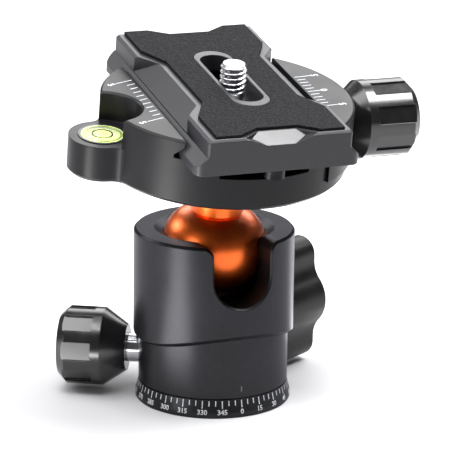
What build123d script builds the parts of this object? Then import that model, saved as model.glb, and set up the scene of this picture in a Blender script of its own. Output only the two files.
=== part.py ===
from build123d import *

import os
from math import asin, cos, degrees, radians, sin, sqrt, tan

# Ball head for a tripod. Millimetres, +Z up. The origin is the centre of the base's underside,
# where the head stands on a tripod. The drop notch of the housing faces -Y. The ball and all that
# it carries are drawn square to the stem with the ball's centre as their origin, and are then
# leaned and turned to the pose they rest in.

# ---- fits
running_gap = 0.05  # round shafts that turn or slide
fixed_gap = 0.03  # round pins and screws that stay put
slide_gap = 0.10  # flat faces that slide past each other
seam_gap = 0.30  # the line between the turning housing and the base
cut_over = 1.0  # how far a cut runs past the surface it opens

# ---- ball and its pose
ball_radius = 12.5
ball_height = 38.4  # ball centre above the tripod
ball_gap = 0.10  # between the ball and whatever cradles it
shoulder_height = 7.2  # where the sphere gives way to the neck
shoulder_round = 8.0
neck_radius = 6.0
neck_height = 8.9
stem_radius = 6.35
stem_reach = 21.7  # ball centre to the clamp's underside
head_tilt = 9.0  # lean towards the notch, degrees
head_turn = -2.0  # turn about the stem, degrees

# ---- panning base
base_radius = 18.85
base_flare_height = 1.3
base_height = 4.4
base_round = 0.25
tripod_bore_radius = 4.7625  # 3/8 inch thread
tripod_bore_depth = 9.0
hub_radius = 9.0
hub_top = 14.0
groove_depth = 0.8
groove_half = 2.6
retainer_radius = 9.9
retainer_thickness = 1.0
pan_screw_head_radius = 3.6
pan_screw_thread_radius = 2.0
pan_screw_length = 4.2
slip_ring_inset = 0.8
slip_ring_width = 7.4

# ---- housing
housing_radius = 19.4
foot_radius = 18.1  # slimmer part under the stepped line
housing_top = 42.5
rim_chamfer = 0.6
step_height = 19.3  # crown of the stepped line, over the notch
step_arc_radius = 48.0
step_bevel = 1.25
dish_radius = 14.5
lip_height = 3.0  # retaining lip above the ball's centre
notch_half = 7.25
notch_bottom = 27.3
notch_corner = 2.6
notch_chamfer = 0.5
floor_gap = 0.10  # cavity floor below the retainer
seat_ring_height = 2.0
seat_ring_width = 1.0
seat_ring_rise = 0.5  # top above the ball's centre

# ---- main lock
main_azimuth = 30.0
main_height = 16.6
main_screw_radius = 3.0
main_nose_radius = 2.3
main_nose_length = 2.85
main_thread_end = 32.0
boss_radius = 8.4
boss_reach = 21.0
boss_chamfer = 0.5
bush_radius = 4.6
bush_length = 5.2
wedge_outer = 10.0
wedge_inner = 9.0
wedge_half_width = 4.5
wedge_height = 4.2
wedge_angle = 6.0
liner_thickness = 0.8
liner_angle = 33.0
cup_top = 27.0
wing_tip = 15.5  # knob axis to the wing's tip
wing_half = 4.3
wing_hub = 8.0
wing_blend = 6.5
wing_edge = 0.9
main_knob_start = 21.5
main_knob_length = 15.2
cross_pin_radius = 1.0
cross_pin_open = 6.2  # from the knob's axis, on the side the pin goes in
cross_pin_blind = 4.2
cross_pin_place = 5.0

# ---- pan lock
pan_azimuth = 150.0
pan_height = 10.7
pan_thread_radius = 2.0
pan_shoe_radius = 1.9
pan_shoe_nose = 1.4
pan_shoe_start = 8.35
pan_shoe_end = 13.3
pan_shaft_radius = 3.5
pan_shaft_start = 15.8
pan_shaft_end = 27.0
pan_knob_start = 21.0
pan_neck_radius = 5.7
pan_neck_length = 5.6
pan_grip_length = 10.9
pan_rib_turn = 6.8

# ---- ribbed knobs
grip_radius = 9.55
grip_chamfer = 2.1
rib_count = 8
rib_flat = 4.4  # width of the flats between ribs
rib_depth = 0.75
rib_start = 2.3  # smooth band before the ribs
knob_cap_radius = 5.2
knob_cap_depth = 1.6
knob_cap_crown = 0.3

# ---- clamp, heights measured from its underside
clamp_radius = 29.6
clamp_height = 16.1
clamp_edge = 0.5
clamp_foot = 0.9
channel_floor = 11.5
jaw_lip_half = 19.3
undercut_half = 21.3
base_under_jaw = 3.3
jaw_inset = 12.4  # parting line of the jaw, in from the clamp's edge
jaw_offset = 1.2  # how far the moving jaw stands out while it grips
trough_half = 11.0
trough_floor = 8.0
bridge_half = 9.5
clamp_axis_height = 7.9
clamp_screw_radius = 3.0
clamp_screw_start = 6.6
clamp_screw_reach = 11.3  # past the jaw's flat
jaw_flat_depth = 1.1
jaw_flat_radius = 7.4
thrust_thickness = 0.8
thrust_radius = 5.2
clamp_neck_radius = 6.5
clamp_neck_length = 3.5
clamp_grip_length = 13.6
clamp_rib_turn = 18.3
guide_pin_radius = 1.5
guide_pin_spread = 14.0
guide_pin_wall = 0.6  # between a pin's inner end and the trough
guide_pin_inset = 4.1  # pin's outer end, in from the jaw's flat
spring_coil_radius = 1.5
spring_wire_radius = 0.3
spring_pitch = 1.4
spring_spread = 8.4
spring_pocket_radius = 2.1
spring_pocket_depth = 4.2
stem_screw_radius = 3.0
stem_head_radius = 5.0
stem_head_height = 5.0
stem_head_floor = 5.2
stem_screw_length = 17.0
hex_key_across = 4.0
hex_key_depth = 2.6

# ---- bubble level
level_place = 30.2
level_boss_radius = 8.0
level_boss_height = 8.9
level_scallop = 8.9
level_blend = 3.0
level_case_radius = 5.75
level_case_wall = 0.55
level_case_bottom = 4.4
level_proud = 0.2
level_lens_thickness = 0.8
level_bubble_radius = 1.9
level_bubble_height = 0.8

# ---- camera plate
plate_middle = 1.1
plate_half_length = 33.6
plate_block_half = 17.6
plate_flange_half = 20.1
plate_bottom = 11.6
plate_top = 20.3
plate_flange_rise = 1.9
plate_block_corner = 0.9
plate_flange_corner = 2.5
plate_chamfer = 0.6
waist_half = 13.4
waist_drop = 4.0
waist_long = 19.0
waist_short = 13.0
scoop_half = 9.2
scoop_inner_half = 4.6
scoop_low_half = 3.4
scoop_depth = 3.5
scoop_drop = 2.2
pad_half = 15.6
pad_thickness = 0.7
pad_half_length = 32.8
pad_waist_half = 11.8
pad_waist_long = 20.2
pad_waist_short = 12.6
pad_scoop_half = 5.0
pad_scoop_outer = 9.8
pad_scoop_length = 29.6
slot_half = 3.7
slot_length = 29.4
rim_half = 4.6
rim_length = 34.4
rim_gap = 0.15  # between the slot's rim and the pad
pocket_ceiling = 16.9
pocket_half = 8.3
stop_screw_radius = 2.5
stop_screw_drop = 2.6
stop_thread_radius = 1.5
stop_thread_length = 5.0
stop_screw_place = 30.6

# ---- camera screw
camera_screw_radius = 3.175  # 1/4 inch thread
camera_screw_top = 25.1
camera_screw_place = -1.0
camera_shank_radius = 2.75  # under the thread, so that the screw can't fall out
camera_tip_chamfer = 0.6
camera_head_radius = 7.2
camera_head_height = 3.0
camera_washer_radius = 7.6
camera_washer_thickness = 0.8
coin_slot_width = 1.6
coin_slot_depth = 1.4
camera_travel = 10.6

# ---- places worked out from the sizes above
housing_bottom = base_height + seam_gap
housing_floor = hub_top - floor_gap
cavity_radius = ball_radius + ball_gap
liner_inner = cavity_radius
liner_outer = liner_inner + liner_thickness
cup_seat = liner_outer + ball_gap
cup_radius = cavity_radius - slide_gap
lip_radius = sqrt(cavity_radius**2 - lip_height**2)
lip_angle = degrees(asin(lip_height / cavity_radius))
seat_ring_top = ball_height + seat_ring_rise
seat_ring_bottom = seat_ring_top - seat_ring_height
notch_straight = housing_top - notch_bottom - notch_half
stem_screw_floor = stem_head_floor - stem_screw_length
shoulder_radius = sqrt(ball_radius**2 - shoulder_height**2)
shoulder_angle = degrees(asin(shoulder_height / ball_radius))
retainer_top = hub_top + retainer_thickness
wedge_bottom = retainer_top + slide_gap
wedge_slope = tan(radians(wedge_angle))
wedge_top = wedge_bottom + wedge_height
main_start = wedge_outer + running_gap
lip_foot = plate_bottom + plate_flange_rise + plate_flange_half - jaw_lip_half + slide_gap
waist_slope = waist_drop / (plate_block_half - waist_half)
waist_outer = plate_block_half + cut_over
waist_far = waist_long + cut_over * (waist_long - waist_short) / (plate_block_half - waist_half)
plate_shoulder = plate_bottom + plate_flange_rise + plate_flange_half - plate_block_half
jaw_start = clamp_radius - jaw_inset
jaw_flat = clamp_radius + jaw_offset - jaw_flat_depth
clamp_screw_end = jaw_flat + clamp_screw_reach
clamp_knob_start = jaw_flat + thrust_thickness + 2 * slide_gap
guide_pin_start = trough_half + guide_pin_wall
guide_pin_end = jaw_flat - guide_pin_inset
pocket_half_length = camera_travel + camera_washer_radius + 4 * slide_gap

main_out = (cos(radians(main_azimuth)), sin(radians(main_azimuth)), 0)
pan_out = (cos(radians(pan_azimuth)), sin(radians(pan_azimuth)), 0)
main_axis = Plane(origin=(0, 0, main_height), x_dir=(0, 0, 1), z_dir=main_out)
main_side = Plane(origin=(0, 0, 0), x_dir=main_out, z_dir=(main_out[1], -main_out[0], 0))
cross_place = main_knob_start + cross_pin_place
main_cross = Plane(
    origin=(cross_place * main_out[0], cross_place * main_out[1], main_height),
    z_dir=(main_out[1], -main_out[0], 0),
)
pan_axis = Plane(origin=(0, 0, pan_height), x_dir=(0, 0, 1), z_dir=pan_out)
clamp_floor = Plane.XY.offset(stem_reach)
clamp_front = Plane.XZ.shift_origin((0, 0, stem_reach))
level_axis = clamp_floor.shift_origin((-level_place, 0, stem_reach))
clamp_axis = Plane(origin=(0, 0, stem_reach + clamp_axis_height), x_dir=(0, 0, 1), z_dir=(1, 0, 0))
head_pose = Pos(0, 0, ball_height) * Rot(head_tilt, 0, 0) * Rot(0, 0, head_turn)

os.makedirs("parts", exist_ok=True)


def keep(piece, name):
    """Label a finished piece and write it."""
    piece.part.label = name
    export_step(piece.part, f"parts/{name}.step")


def keep_on_head(piece, name):
    """Set a piece that is drawn square to the stem in the head's pose, and write it."""
    piece.part.locate(head_pose * piece.part.location)
    keep(piece, name)


def turn(plane, points):
    """Add a body turned about the plane's normal, from (radius, distance along it) points."""
    section_plane = Plane(origin=plane.origin, x_dir=plane.x_dir, z_dir=-plane.y_dir)
    with BuildSketch(section_plane) as section:
        with BuildLine():
            Polyline(*points, close=True)
        make_face()
    revolve(section.sketch, axis=Axis(plane.origin, plane.z_dir))


def bore(plane, radius, start, end):
    """Cut a round hole along the plane's normal out of the piece that is being built."""
    with Locations(plane.offset(start)):
        Cylinder(radius, end - start, align=(Align.CENTER, Align.CENTER, Align.MIN), mode=Mode.SUBTRACT)


def ribbed_knob(plane, start, neck_radius, neck_length, grip_length, rib_turn, screw_radius, screw_end):
    """Add a ribbed grip on a conical neck, along the plane's normal, with a recess for its cap."""
    shoulder = start + neck_length
    end = shoulder + grip_length
    turn(
        plane,
        [
            (0, start),
            (neck_radius, start),
            (grip_radius, shoulder),
            (grip_radius, end - grip_chamfer),
            (grip_radius - grip_chamfer, end),
            (0, end),
        ],
    )
    with BuildSketch(plane.offset(shoulder + rib_start)) as flats:
        with PolarLocations(grip_radius, rib_count, start_angle=rib_turn):
            Rectangle(2 * rib_depth, rib_flat)
    extrude(flats.sketch, amount=grip_length, mode=Mode.SUBTRACT)
    bore(plane, screw_radius, start, screw_end)
    bore(plane, knob_cap_radius + fixed_gap, end - knob_cap_depth, end)


def knob_cap(plane, end):
    """Add the plug that closes a ribbed knob's outer end."""
    inner = end - knob_cap_depth + fixed_gap
    outer = end + knob_cap_crown
    turn(
        plane,
        [
            (0, inner),
            (knob_cap_radius, inner),
            (knob_cap_radius, end),
            (knob_cap_radius - knob_cap_crown, outer),
            (0, outer),
        ],
    )


# ======== panning base ========
head_depth = pan_screw_head_radius - pan_screw_thread_radius
with BuildPart() as panning_base:
    turn(
        Plane.XY,
        [
            (0, 0),
            (base_radius - base_round, 0),
            (base_radius, base_round),
            (base_radius, base_flare_height),
            (foot_radius, base_height),
            (hub_radius, base_height),
            (hub_radius, pan_height - groove_half),
            (hub_radius - groove_depth, pan_height - groove_half + groove_depth),
            (hub_radius - groove_depth, pan_height + groove_half - groove_depth),
            (hub_radius, pan_height + groove_half),
            (hub_radius, hub_top),
            (0, hub_top),
        ],
    )
    bore(Plane.XY, tripod_bore_radius, 0, tripod_bore_depth)
    bore(Plane.XY, pan_screw_thread_radius + fixed_gap, retainer_top - pan_screw_length - slide_gap, hub_top)
    with BuildSketch(Plane.XY.offset(hub_top)):
        Circle(pan_screw_head_radius - retainer_thickness + fixed_gap)
    extrude(amount=retainer_thickness - head_depth, taper=45, mode=Mode.SUBTRACT)
keep(panning_base, "panning_base")

with BuildPart() as slip_ring:
    with BuildSketch(Plane.XY.offset(base_height)):
        Circle(foot_radius - slip_ring_inset)
        Circle(foot_radius - slip_ring_inset - slip_ring_width, mode=Mode.SUBTRACT)
    extrude(amount=seam_gap - slide_gap)
keep(slip_ring, "slip_ring")

with BuildPart() as pan_retainer:
    with BuildSketch(Plane.XY.offset(hub_top)):
        Circle(retainer_radius)
    extrude(amount=retainer_thickness)
    with BuildSketch(Plane.XY.offset(retainer_top)):
        Circle(pan_screw_head_radius + fixed_gap)
    extrude(amount=-retainer_thickness, taper=45, mode=Mode.SUBTRACT)
keep(pan_retainer, "pan_retainer")

with BuildPart() as pan_screw:
    turn(
        Plane.XY,
        [
            (0, retainer_top),
            (pan_screw_head_radius, retainer_top),
            (pan_screw_thread_radius, retainer_top - head_depth),
            (pan_screw_thread_radius, retainer_top - pan_screw_length),
            (0, retainer_top - pan_screw_length),
        ],
    )
keep(pan_screw, "pan_screw")

# ======== housing ========
with BuildPart() as step_cut:
    with BuildSketch(Plane.XZ):
        with Locations((0, step_height - step_arc_radius)):
            Circle(step_arc_radius)
    extrude(amount=housing_radius + cut_over, both=True)
    with BuildSketch(Plane.XY):
        Circle(foot_radius)
    extrude(amount=step_arc_radius, both=True, mode=Mode.SUBTRACT)

with BuildPart() as housing:
    with BuildSketch(Plane.XY.offset(housing_bottom)):
        Circle(housing_radius)
    extrude(amount=housing_top - housing_bottom)
    chamfer(housing.faces().sort_by(Axis.Z)[-1].edges(), rim_chamfer)
    add(step_cut.part, mode=Mode.SUBTRACT)
    step_line = [
        edge
        for edge in housing.edges().filter_by(GeomType.BSPLINE)
        if edge.position_at(0.3).X ** 2 + edge.position_at(0.3).Y ** 2 > (foot_radius + seam_gap) ** 2
    ]
    chamfer(step_line, step_bevel)
    # boss round the main lock screw
    with BuildSketch(main_axis):
        Circle(boss_radius)
    extrude(amount=boss_reach - boss_chamfer)
    with BuildSketch(main_axis.offset(boss_reach - boss_chamfer)):
        Circle(boss_radius)
    extrude(amount=boss_chamfer, taper=45)
    # cavity: straight bore, ball seat, lip and dish
    with BuildSketch(Plane.XZ):
        with BuildLine():
            Line((cavity_radius, housing_floor), (cavity_radius, ball_height))
            CenterArc((0, ball_height), cavity_radius, 0, lip_angle)
            Polyline(
                (lip_radius, ball_height + lip_height),
                (dish_radius, housing_top),
                (0, housing_top),
                (0, housing_floor),
                (cavity_radius, housing_floor),
            )
        make_face()
    revolve(axis=Axis.Z, mode=Mode.SUBTRACT)
    bore(Plane.XY, hub_radius + running_gap, housing_bottom, housing_floor)
    # groove of the upper seat ring
    bore(Plane.XY, cavity_radius + seat_ring_width + fixed_gap, seat_ring_bottom - fixed_gap, seat_ring_top)
    # drop notch with rounded shoulders
    with BuildSketch(Plane.XZ) as notch:
        with Locations((0, notch_bottom + notch_half)):
            Circle(notch_half)
            Rectangle(2 * notch_half, notch_straight, align=(Align.CENTER, Align.MIN))
        with Locations((0, housing_top)):
            Rectangle(4 * notch_half, cut_over, align=(Align.CENTER, Align.MIN))
        shoulders = [
            corner for corner in notch.vertices()
            if abs(abs(corner.X) - notch_half) < slide_gap and corner.Y > ball_height
        ]
        fillet(shoulders, notch_corner)
    extrude(amount=housing_radius + cut_over, mode=Mode.SUBTRACT)
    # bores of the two locks
    bore(main_axis, main_screw_radius + running_gap, cavity_radius - cut_over, boss_reach)
    bore(main_axis, bush_radius + fixed_gap, boss_reach - bush_length, boss_reach)
    bore(pan_axis, pan_thread_radius + running_gap, hub_radius - cut_over, foot_radius)
    bore(pan_axis, pan_shaft_radius + running_gap, pan_shaft_start - slide_gap, housing_radius)
    # outer edge of the notch
    across = notch_half + notch_corner + fixed_gap
    notch_edge = []
    for edge in housing.edges():
        middle = edge.position_at(0.5)
        outside = sqrt(middle.X**2 + middle.Y**2) > housing_radius - slide_gap
        if outside and abs(middle.X) < across and middle.Y < 0 and middle.Z > notch_bottom - fixed_gap:
            notch_edge.append(edge)
    chamfer(notch_edge, notch_chamfer)
keep(housing, "housing")

with BuildPart() as seat_ring:
    with BuildSketch(Plane.XY.offset(seat_ring_bottom)):
        Circle(cavity_radius + seat_ring_width)
        Circle(cavity_radius, mode=Mode.SUBTRACT)
    extrude(amount=seat_ring_height - fixed_gap)
    with BuildSketch(Plane.XZ):
        with Locations((0, ball_height)):
            Rectangle(2 * notch_half, 2 * seat_ring_height)
    extrude(amount=housing_radius, mode=Mode.SUBTRACT)
keep(seat_ring, "seat_ring")

bush_start = boss_reach - bush_length + fixed_gap
with BuildPart() as main_bush:
    turn(
        main_axis,
        [
            (main_screw_radius + running_gap, bush_start),
            (bush_radius, bush_start),
            (bush_radius, boss_reach),
            (main_screw_radius + running_gap, boss_reach),
        ],
    )
keep(main_bush, "main_bush")

# ======== main lock: the screw drives a wedge that lifts a cup against the ball ========
with BuildPart() as main_wedge:
    with BuildSketch(main_side):
        with BuildLine():
            Polyline(
                (-wedge_inner, wedge_bottom),
                (wedge_outer, wedge_bottom),
                (wedge_outer, wedge_top),
                (-wedge_inner, wedge_top - (wedge_outer + wedge_inner) * wedge_slope),
                close=True,
            )
        make_face()
    extrude(amount=wedge_half_width, both=True)
keep(main_wedge, "main_wedge")

cup_foot = wedge_top + slide_gap
cup_span = 2 * cavity_radius
with BuildPart() as lower_cup:
    with BuildSketch(Plane.XY.offset(wedge_bottom)):
        Circle(cup_radius)
    extrude(amount=cup_top - wedge_bottom)
    with BuildSketch(main_side):
        with BuildLine():
            Polyline(
                (wedge_outer - cup_span, 0),
                (wedge_outer + cup_span, 0),
                (wedge_outer + cup_span, cup_foot + cup_span * wedge_slope),
                (wedge_outer - cup_span, cup_foot - cup_span * wedge_slope),
                close=True,
            )
        make_face()
    extrude(amount=cavity_radius + cut_over, both=True, mode=Mode.SUBTRACT)
    with Locations((0, 0, ball_height)):
        Sphere(cup_seat, mode=Mode.SUBTRACT)
keep(lower_cup, "lower_cup")

with BuildPart() as ball_liner:
    with BuildSketch(Plane.XZ):
        with BuildLine():
            outer = CenterArc((0, ball_height), liner_outer, 270, liner_angle)
            inner = CenterArc((0, ball_height), liner_inner, 270, liner_angle)
            Line(outer @ 0, inner @ 0)
            Line(outer @ 1, inner @ 1)
        make_face()
    revolve(axis=Axis.Z)
keep(ball_liner, "ball_liner")

with BuildPart() as main_lock_screw:
    turn(
        main_axis,
        [
            (0, main_start),
            (main_nose_radius, main_start),
            (main_nose_radius, main_start + main_nose_length),
            (main_screw_radius, main_start + main_nose_length),
            (main_screw_radius, main_thread_end),
            (0, main_thread_end),
        ],
    )
    bore(main_cross, cross_pin_radius + fixed_gap, -cross_pin_open, cross_pin_blind)
keep(main_lock_screw, "main_lock_screw")

with BuildPart() as main_knob:
    with BuildSketch(main_axis.offset(main_knob_start)) as wings:
        Circle(wing_hub)
        SlotOverall(2 * wing_tip, 2 * wing_half)
        waist = [corner for corner in wings.vertices() if abs(corner.X) < wing_hub]
        fillet(waist, wing_blend)
    extrude(amount=main_knob_length)
    along = Axis(main_axis.origin, main_axis.z_dir)
    chamfer(main_knob.faces().sort_by(along)[-1].edges(), wing_edge)
    chamfer(main_knob.faces().sort_by(along)[0].edges(), wing_edge / 2)
    bore(main_axis, main_screw_radius + fixed_gap, main_knob_start, main_thread_end + fixed_gap)
    bore(main_cross, cross_pin_radius + fixed_gap, -wing_hub, cross_pin_blind + fixed_gap)
keep(main_knob, "main_knob")

with BuildPart() as cross_pin:
    with BuildSketch(main_cross.offset(-cross_pin_open)):
        Circle(cross_pin_radius)
    extrude(amount=cross_pin_open + cross_pin_blind)
keep(cross_pin, "main_knob_pin")

# ======== pan lock: the screw presses a shoe into the hub's groove ========
with BuildPart() as pan_shoe:
    turn(
        pan_axis,
        [
            (0, pan_shoe_start),
            (pan_shoe_nose, pan_shoe_start),
            (pan_shoe_radius, pan_shoe_start + 2 * (pan_shoe_radius - pan_shoe_nose)),
            (pan_shoe_radius, pan_shoe_end),
            (0, pan_shoe_end),
        ],
    )
keep(pan_shoe, "pan_shoe")

with BuildPart() as pan_lock_screw:
    turn(
        pan_axis,
        [
            (0, pan_shoe_end + slide_gap),
            (pan_thread_radius, pan_shoe_end + slide_gap),
            (pan_thread_radius, pan_shaft_start),
            (pan_shaft_radius, pan_shaft_start),
            (pan_shaft_radius, pan_shaft_end),
            (0, pan_shaft_end),
        ],
    )
keep(pan_lock_screw, "pan_lock_screw")

with BuildPart() as pan_knob:
    ribbed_knob(
        pan_axis,
        pan_knob_start,
        pan_neck_radius,
        pan_neck_length,
        pan_grip_length,
        pan_rib_turn,
        pan_shaft_radius + fixed_gap,
        pan_shaft_end + fixed_gap,
    )
keep(pan_knob, "pan_knob")

with BuildPart() as pan_knob_cap:
    knob_cap(pan_axis, pan_knob_start + pan_neck_length + pan_grip_length)
keep(pan_knob_cap, "pan_knob_cap")

# ======== ball, collar and what it carries ========
with BuildPart() as ball:
    Sphere(ball_radius, arc_size2=shoulder_angle, align=None)
    turn(
        Plane.XY,
        [
            (0, 0),
            (shoulder_radius, shoulder_height),
            (neck_radius, neck_height),
            (stem_radius, neck_height + stem_radius - neck_radius),
            (stem_radius, stem_reach),
            (0, stem_reach),
        ],
    )
    shoulder = [edge for edge in ball.edges() if abs(edge.center().Z - shoulder_height) < slide_gap]
    fillet(shoulder, shoulder_round)
    bore(clamp_floor, stem_screw_radius + running_gap, stem_screw_floor - slide_gap, 0)
keep_on_head(ball, "ball")

# clamp body: disc, bubble boss and the fixed jaw
with BuildPart() as clamp_base:
    with BuildSketch(clamp_floor):
        Circle(clamp_radius)
        with Locations((-level_place, 0)):
            Circle(level_boss_radius)
    extrude(amount=level_boss_height)
    upright = clamp_base.edges().filter_by(Axis.Z)
    fillet([edge for edge in upright if abs(edge.center().Y) > level_boss_radius / 2], level_blend)
    chamfer(clamp_base.faces().sort_by(Axis.Z)[0].edges(), clamp_foot)
    # upper half, hollowed round the bubble level
    with BuildSketch(clamp_floor.offset(level_boss_height)):
        Circle(clamp_radius)
        with Locations((-level_place, 0)):
            Circle(level_scallop, mode=Mode.SUBTRACT)
    extrude(amount=clamp_height - level_boss_height)
    chamfer(clamp_base.faces().sort_by(Axis.Z)[-1].edges(), clamp_edge)
    # channel for the plate, with a dovetail lip on the fixed side
    with BuildSketch(clamp_front):
        with BuildLine():
            Polyline(
                (clamp_radius + cut_over, channel_floor),
                (plate_middle - undercut_half, channel_floor),
                (plate_middle - undercut_half, lip_foot - undercut_half + jaw_lip_half),
                (plate_middle - jaw_lip_half, lip_foot),
                (plate_middle - jaw_lip_half, clamp_height + cut_over),
                (clamp_radius + cut_over, clamp_height + cut_over),
                close=True,
            )
        make_face()
    extrude(amount=clamp_radius + cut_over, both=True, mode=Mode.SUBTRACT)
    # shelf under the moving jaw
    with BuildSketch(clamp_floor.offset(base_under_jaw)):
        with Locations((jaw_start, 0)):
            Rectangle(clamp_radius, 2 * clamp_radius + 2 * cut_over, align=(Align.MIN, Align.CENTER))
    extrude(amount=clamp_height, mode=Mode.SUBTRACT)
    # troughs that the stop screws run in
    with BuildSketch(clamp_floor.offset(trough_floor)):
        with GridLocations(0, clamp_radius + cut_over + bridge_half, 1, 2):
            Rectangle(2 * trough_half, clamp_radius + cut_over - bridge_half)
    extrude(amount=clamp_height, mode=Mode.SUBTRACT)
    # seat of the bubble level
    bore(level_axis, level_case_radius + fixed_gap, level_case_bottom, clamp_height)
    # seat of the stem screw and the bores of the clamp screw, pins and springs
    bore(clamp_floor, stem_head_radius + fixed_gap, stem_head_floor, clamp_height)
    bore(clamp_floor, stem_screw_radius + fixed_gap, 0, stem_head_floor)
    bore(clamp_axis, clamp_screw_radius + running_gap, clamp_screw_start - slide_gap, jaw_start)
    for side in (-1, 1):
        pin_line = clamp_axis.shift_origin((0, side * guide_pin_spread, clamp_axis.origin.Z))
        spring_line = clamp_axis.shift_origin((0, side * spring_spread, clamp_axis.origin.Z))
        bore(pin_line, guide_pin_radius + running_gap, guide_pin_start - slide_gap, jaw_start)
        bore(spring_line, spring_pocket_radius, jaw_start - spring_pocket_depth, jaw_start)
keep_on_head(clamp_base, "clamp_base")

with BuildPart() as stem_screw:
    turn(
        clamp_floor,
        [
            (0, stem_screw_floor),
            (stem_screw_radius, stem_screw_floor),
            (stem_screw_radius, stem_head_floor),
            (stem_head_radius, stem_head_floor),
            (stem_head_radius, stem_head_floor + stem_head_height),
            (0, stem_head_floor + stem_head_height),
        ],
    )
    with BuildSketch(clamp_floor.offset(stem_head_floor + stem_head_height)):
        RegularPolygon(hex_key_across / 2, 6, major_radius=False)
    extrude(amount=-hex_key_depth, mode=Mode.SUBTRACT)
keep_on_head(stem_screw, "stem_screw")

# moving jaw
with BuildPart() as moving_jaw:
    with BuildSketch(clamp_floor.offset(base_under_jaw + slide_gap)):
        with Locations((jaw_offset, 0)):
            Circle(clamp_radius)
    extrude(amount=clamp_height - base_under_jaw - slide_gap)
    chamfer(moving_jaw.faces().sort_by(Axis.Z)[-1].edges(), clamp_edge)
    with BuildSketch(clamp_front):
        with BuildLine():
            Polyline(
                (-clamp_radius, 0),
                (jaw_start + slide_gap, 0),
                (jaw_start + slide_gap, channel_floor - slide_gap),
                (plate_middle + undercut_half, channel_floor - slide_gap),
                (plate_middle + undercut_half, lip_foot - undercut_half + jaw_lip_half),
                (plate_middle + jaw_lip_half, lip_foot),
                (plate_middle + jaw_lip_half, clamp_height + cut_over),
                (-clamp_radius, clamp_height + cut_over),
                close=True,
            )
        make_face()
    extrude(amount=clamp_radius + cut_over, both=True, mode=Mode.SUBTRACT)
    bore(clamp_axis, jaw_flat_radius, jaw_flat, clamp_radius + 2 * jaw_offset)
    bore(clamp_axis, clamp_screw_radius + running_gap, jaw_start, jaw_flat)
    for side in (-1, 1):
        pin_line = clamp_axis.shift_origin((0, side * guide_pin_spread, clamp_axis.origin.Z))
        bore(pin_line, guide_pin_radius + fixed_gap, jaw_start, guide_pin_end + slide_gap)
keep_on_head(moving_jaw, "moving_jaw")

with BuildPart() as guide_pins:
    for side in (-1, 1):
        pin_line = clamp_axis.shift_origin((0, side * guide_pin_spread, clamp_axis.origin.Z))
        with BuildSketch(pin_line.offset(guide_pin_start)):
            Circle(guide_pin_radius)
        extrude(amount=guide_pin_end - guide_pin_start)
keep_on_head(guide_pins, "guide_pins")

with BuildPart() as jaw_springs:
    for side in (-1, 1):
        spring_line = clamp_axis.shift_origin((0, side * spring_spread, clamp_axis.origin.Z))
        spring_start = spring_line.offset(jaw_start - spring_pocket_depth + 2 * spring_wire_radius)
        with BuildLine() as coil:
            Helix(
                spring_pitch,
                spring_pocket_depth - 3 * spring_wire_radius,
                spring_coil_radius,
                center=spring_start.origin,
                direction=spring_start.z_dir,
            )
        with BuildSketch(Plane(origin=coil.line @ 0, z_dir=coil.line % 0)):
            Circle(spring_wire_radius)
        sweep(path=coil.line, is_frenet=True)
keep_on_head(jaw_springs, "jaw_springs")

# clamp screw, its washer and knob
with BuildPart() as clamp_screw:
    with BuildSketch(clamp_axis.offset(clamp_screw_start)):
        Circle(clamp_screw_radius)
    extrude(amount=clamp_screw_end - clamp_screw_start)
keep_on_head(clamp_screw, "clamp_screw")

with BuildPart() as thrust_washer:
    with BuildSketch(clamp_axis.offset(jaw_flat + slide_gap)):
        Circle(thrust_radius)
        Circle(clamp_screw_radius + fixed_gap, mode=Mode.SUBTRACT)
    extrude(amount=thrust_thickness)
keep_on_head(thrust_washer, "thrust_washer")

with BuildPart() as clamp_knob:
    ribbed_knob(
        clamp_axis,
        clamp_knob_start,
        clamp_neck_radius,
        clamp_neck_length,
        clamp_grip_length,
        clamp_rib_turn,
        clamp_screw_radius + fixed_gap,
        clamp_screw_end + fixed_gap,
    )
keep_on_head(clamp_knob, "clamp_knob")

with BuildPart() as clamp_knob_cap:
    knob_cap(clamp_axis, clamp_knob_start + clamp_neck_length + clamp_grip_length)
keep_on_head(clamp_knob_cap, "clamp_knob_cap")

# ======== bubble level: a case with liquid, a bubble and a lens ========
level_inner = level_case_radius - level_case_wall
level_top = level_boss_height + level_proud
level_floor = level_case_bottom + level_case_wall
liquid_top = level_top - level_lens_thickness

with BuildPart() as level_case:
    turn(
        level_axis,
        [
            (0, level_case_bottom),
            (level_case_radius, level_case_bottom),
            (level_case_radius, level_top),
            (level_inner, level_top),
            (level_inner, level_floor),
            (0, level_floor),
        ],
    )
keep_on_head(level_case, "level_case")

with BuildPart() as level_liquid:
    turn(level_axis, [(0, level_floor), (level_inner, level_floor), (level_inner, liquid_top), (0, liquid_top)])
    bore(level_axis, level_bubble_radius, liquid_top - level_bubble_height, liquid_top)
keep_on_head(level_liquid, "level_liquid")

with BuildPart() as level_bubble:
    with BuildSketch(level_axis.offset(liquid_top - level_bubble_height)):
        Circle(level_bubble_radius)
    extrude(amount=level_bubble_height)
keep_on_head(level_bubble, "level_bubble")

with BuildPart() as level_lens:
    with BuildSketch(level_axis.offset(liquid_top)):
        Circle(level_inner)
    extrude(amount=level_lens_thickness)
keep_on_head(level_lens, "level_lens")

# ======== camera plate ========
plate_floor = clamp_floor.shift_origin((plate_middle, 0, stem_reach))
plate_front = Plane.XZ.shift_origin((plate_middle, 0, stem_reach))

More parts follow.
